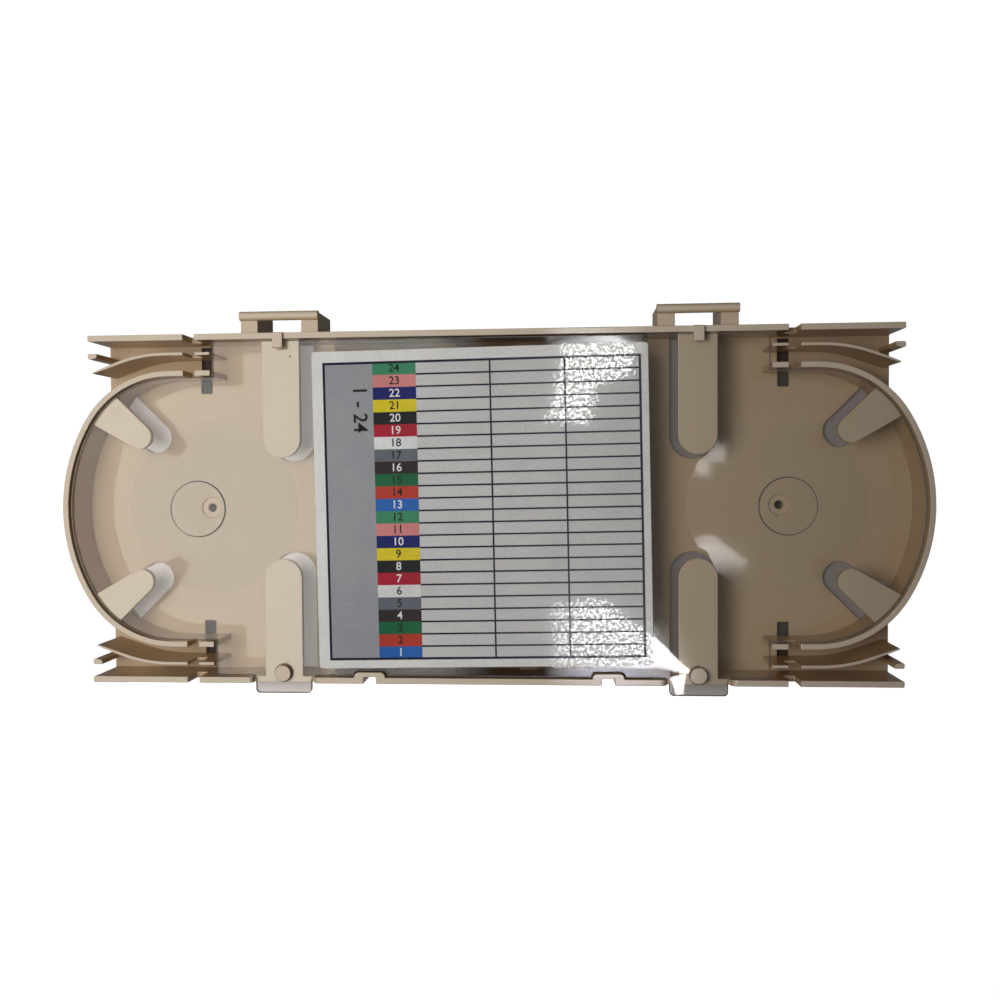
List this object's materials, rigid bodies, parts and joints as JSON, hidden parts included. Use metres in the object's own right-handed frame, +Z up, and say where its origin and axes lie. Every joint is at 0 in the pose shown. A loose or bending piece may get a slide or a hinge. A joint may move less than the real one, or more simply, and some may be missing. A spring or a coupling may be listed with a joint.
{
  "type": "fibre splice tray",
  "caption": "Flat moulded fibre splice tray with round storage ends, retaining fingers and corner fibre entries, a clear tilting cover with a printed label, and comb splice holders inside.",
  "frame": {"origin": "on the tray's flat underside, midway between the two round ends and between the outer faces of the two long walls", "axes": "+X along the tray towards one round end, +Y towards the long wall with the hooks and the stacking loops, +Z up out of the tray"},
  "size_m": [0.245, 0.1089, 0.0172],
  "materials": {
    "tray_plastic": "satin moulded",
    "clear_plastic": "clear polished",
    "label_sheet": "printed glossy film",
    "holder_plastic": "moulded"
  },
  "bodies": {
    "tray": {"tray": "tray_plastic", "splice_holder_hooked": "holder_plastic", "splice_holder_pegged": "holder_plastic"},
    "cover": {"cover": "clear_plastic", "label": "label_sheet"}
  },
  "joints": [
    {"name": "cover_tilt", "type": "hinge", "parent": "tray", "child": "cover", "pos_m": [0, 0.04782, 0.01443], "axis": [-1, 0, 0], "range_deg": [0, 18]}
  ]
}
